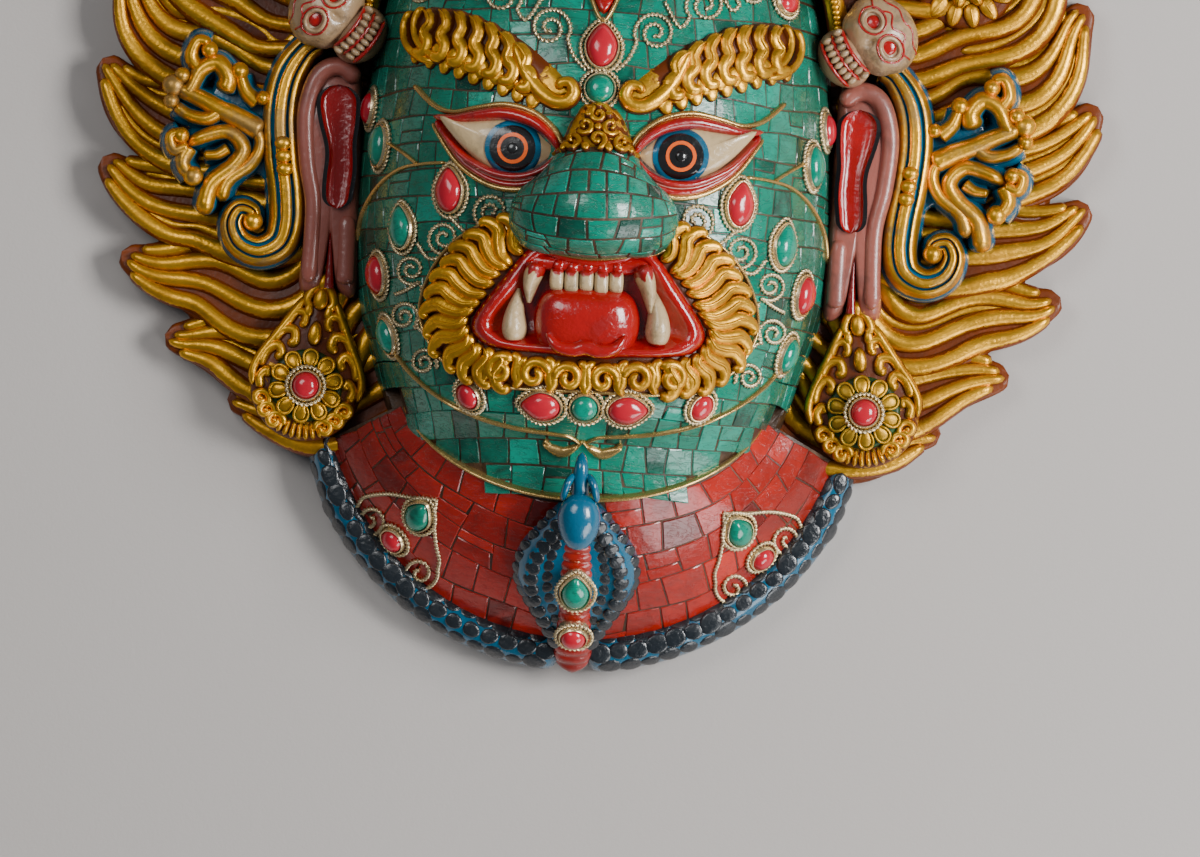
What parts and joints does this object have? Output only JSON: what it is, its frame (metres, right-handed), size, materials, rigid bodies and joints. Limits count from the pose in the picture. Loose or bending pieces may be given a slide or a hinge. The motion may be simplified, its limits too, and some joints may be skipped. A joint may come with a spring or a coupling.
{
  "type": "wrathful guardian cham mask",
  "caption": "Hollow-backed wall mask of a wrathful guardian: mosaic face, fanged mouth, gilt flame halo, skull crown, ear pendants and a snake-edged collar, set with stones.",
  "frame": {"origin": "middle of the flat back, on the surface that the mask lies on", "axes": "+Z out of the face, +Y towards the top of the flame halo, +X towards the mask's left ear"},
  "size_m": [0.3576, 0.3848, 0.1107],
  "materials": {
    "gilt_casting": "gilded and painted casting over red-brown ground",
    "coral": "polished",
    "turquoise": "polished",
    "mosaic": "polished chips in brown grout",
    "coral_mosaic": "polished chips in brown grout",
    "setting_wire": "twisted and flattened",
    "gold_leaf": "gold leaf, worn",
    "skin_paint": "glossy paint",
    "red_paint": "glossy paint",
    "bone_paint": "painted bone colour",
    "blue_paint": "glossy paint with black spots"
  },
  "bodies": {
    "root": {"coral_brow_end_left": "coral", "coral_brow_end_right": "coral", "coral_cheek_left": "coral", "coral_cheek_right": "coral", "coral_chin_left": "coral", "coral_chin_right": "coral", "coral_cobra": "coral", "coral_collar_left": "coral", "coral_collar_right": "coral", "coral_forehead": "coral", "coral_jaw_left": "coral", "coral_jaw_right": "coral", "coral_pendant_left": "coral", "coral_pendant_right": "coral", "coral_temple_left": "coral", "coral_temple_right": "coral", "coral_under_eye_left": "coral", "coral_under_eye_right": "coral", "mask_casting": "gilt_casting", "turquoise_between_brows": "turquoise", "turquoise_cheek_left": "turquoise", "turquoise_cheek_right": "turquoise", "turquoise_chin": "turquoise", "turquoise_cobra": "turquoise", "turquoise_collar_left": "turquoise", "turquoise_collar_right": "turquoise", "turquoise_jaw_left": "turquoise", "turquoise_jaw_right": "turquoise", "turquoise_temple_left": "turquoise", "turquoise_temple_right": "turquoise"}
  },
  "joints": []
}
